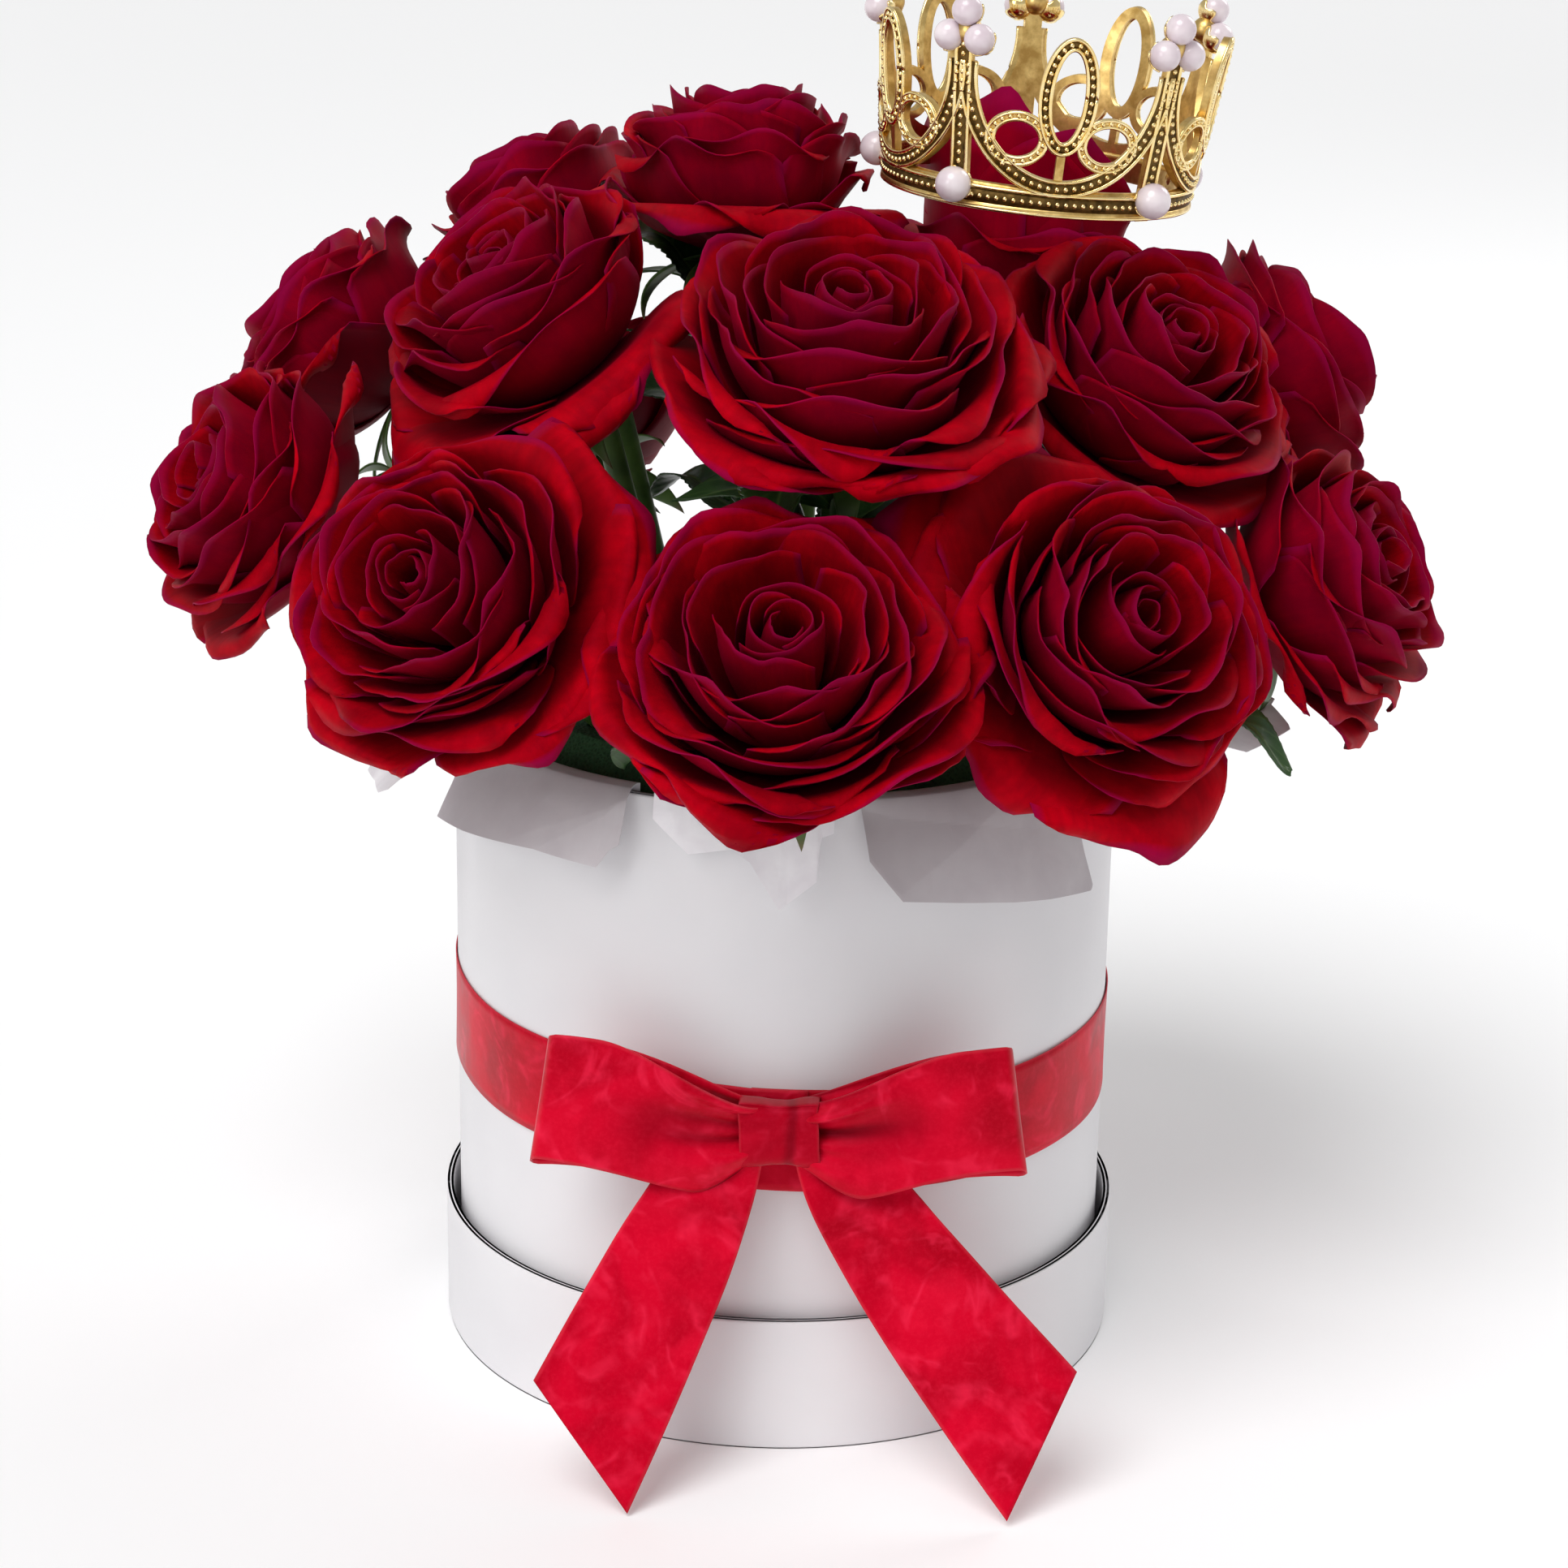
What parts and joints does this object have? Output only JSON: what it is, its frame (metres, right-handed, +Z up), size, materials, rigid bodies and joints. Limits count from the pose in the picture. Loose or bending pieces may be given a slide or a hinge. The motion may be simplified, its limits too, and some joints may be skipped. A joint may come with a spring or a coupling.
{
  "type": "flower box",
  "caption": "Round gift box standing in its lid, filled with red roses in floral foam, tied with a satin ribbon and bow and topped with a small pearl crown.",
  "frame": {"origin": "centre of the lid's flat underside, on the surface the box stands on", "axes": "+Z up, the bow faces -Y, +X to the right when seen from the front"},
  "size_m": [0.3058, 0.273, 0.3299],
  "materials": {
    "foam": "wet floral foam, fine open cells",
    "gold": "antique gold plate",
    "leaf": "waxy rose leaf",
    "liner": "thin clear-grey plastic",
    "pearl": "pearl lacquer",
    "petal": "velvet petals",
    "satin": "satin weave",
    "stem": "waxy green stem",
    "tissue": "thin crisp tissue",
    "white_paper": "matt white paper wrap"
  },
  "bodies": {
    "lid": {"lid_wall": "white_paper", "lid_disc": "white_paper"},
    "box": {"rose_06_bloom": "petal", "rose_06_stem": "stem", "rose_08_bloom": "petal", "rose_08_stem": "stem", "rose_12_bloom": "petal", "rose_12_stem": "stem", "rose_13_bloom": "petal", "rose_13_stem": "stem", "bow_knot": "satin", "bow_loop_left": "satin", "bow_loop_right": "satin", "bow_tail_left": "satin", "bow_tail_right": "satin", "box_base": "white_paper", "box_wall": "white_paper", "floral_foam": "foam", "foam_liner": "liner", "leaf_left": "leaf", "leaf_right": "leaf", "ribbon_band": "satin", "tissue_sheet_1": "tissue", "tissue_sheet_2": "tissue", "tissue_sheet_3": "tissue", "tissue_sheet_4": "tissue", "tissue_sheet_5": "tissue", "tissue_sheet_6": "tissue", "tissue_sheet_7": "tissue", "tissue_sheet_8": "tissue"},
    "crown": {"crown_frame": "gold", "crown_pearls": "pearl"},
    "rose_01": {"rose_01_bloom": "petal", "rose_01_stem": "stem"},
    "rose_02": {"rose_02_bloom": "petal", "rose_02_stem": "stem"},
    "rose_03": {"rose_03_bloom": "petal", "rose_03_stem": "stem"},
    "rose_04": {"rose_04_bloom": "petal", "rose_04_stem": "stem"},
    "rose_05": {"rose_05_bloom": "petal", "rose_05_stem": "stem"},
    "rose_07": {"rose_07_bloom": "petal", "rose_07_stem": "stem"},
    "rose_09": {"rose_09_bloom": "petal", "rose_09_stem": "stem"},
    "rose_10": {"rose_10_bloom": "petal", "rose_10_stem": "stem"},
    "rose_11": {"rose_11_bloom": "petal", "rose_11_stem": "stem"},
    "rose_14": {"rose_14_bloom": "petal", "rose_14_stem": "stem"},
    "rose_15": {"rose_15_bloom": "petal", "rose_15_stem": "stem"},
    "rose_16": {"rose_16_bloom": "petal", "rose_16_stem": "stem"}
  },
  "joints": [
    {"name": "box_lift", "type": "slide", "parent": "lid", "child": "box", "axis": [0, 0, 1], "range_m": [0, 0.04]},
    {"name": "crown_lift", "type": "slide", "parent": "box", "child": "crown", "axis": [0.0785, 0, 0.9969], "range_m": [0, 0.06]},
    {"name": "rose_01_pull", "type": "slide", "parent": "box", "child": "rose_01", "axis": [-0.0088, -0.8053, 0.5928], "range_m": [0, 0.05]},
    {"name": "rose_02_pull", "type": "slide", "parent": "box", "child": "rose_02", "axis": [-0.5474, -0.4766, 0.6879], "range_m": [0, 0.05]},
    {"name": "rose_03_pull", "type": "slide", "parent": "box", "child": "rose_03", "axis": [0.5314, -0.5073, 0.6785], "range_m": [0, 0.05]},
    {"name": "rose_04_pull", "type": "slide", "parent": "box", "child": "rose_04", "axis": [-0.7699, 0.027, 0.6376], "range_m": [0, 0.05]},
    {"name": "rose_05_pull", "type": "slide", "parent": "box", "child": "rose_05", "axis": [0.8496, -0.0109, 0.5273], "range_m": [0, 0.05]},
    {"name": "rose_07_pull", "type": "slide", "parent": "box", "child": "rose_07", "axis": [-0.2577, 0.012, 0.9662], "range_m": [0, 0.05]},
    {"name": "rose_09_pull", "type": "slide", "parent": "box", "child": "rose_09", "axis": [-0.5725, 0.3198, 0.7549], "range_m": [0, 0.05]},
    {"name": "rose_10_pull", "type": "slide", "parent": "box", "child": "rose_10", "axis": [0.6197, 0.2956, 0.7271], "range_m": [0, 0.05]},
    {"name": "rose_11_pull", "type": "slide", "parent": "box", "child": "rose_11", "axis": [-0.2501, 0.3007, 0.9204], "range_m": [0, 0.05]},
    {"name": "rose_14_pull", "type": "slide", "parent": "box", "child": "rose_14", "axis": [-0.3742, 0.685, 0.6251], "range_m": [0, 0.05]},
    {"name": "rose_15_pull", "type": "slide", "parent": "box", "child": "rose_15", "axis": [0.0334, 0.5749, 0.8176], "range_m": [0, 0.05]},
    {"name": "rose_16_pull", "type": "slide", "parent": "box", "child": "rose_16", "axis": [0.5116, 0.6238, 0.5909], "range_m": [0, 0.05]}
  ]
}
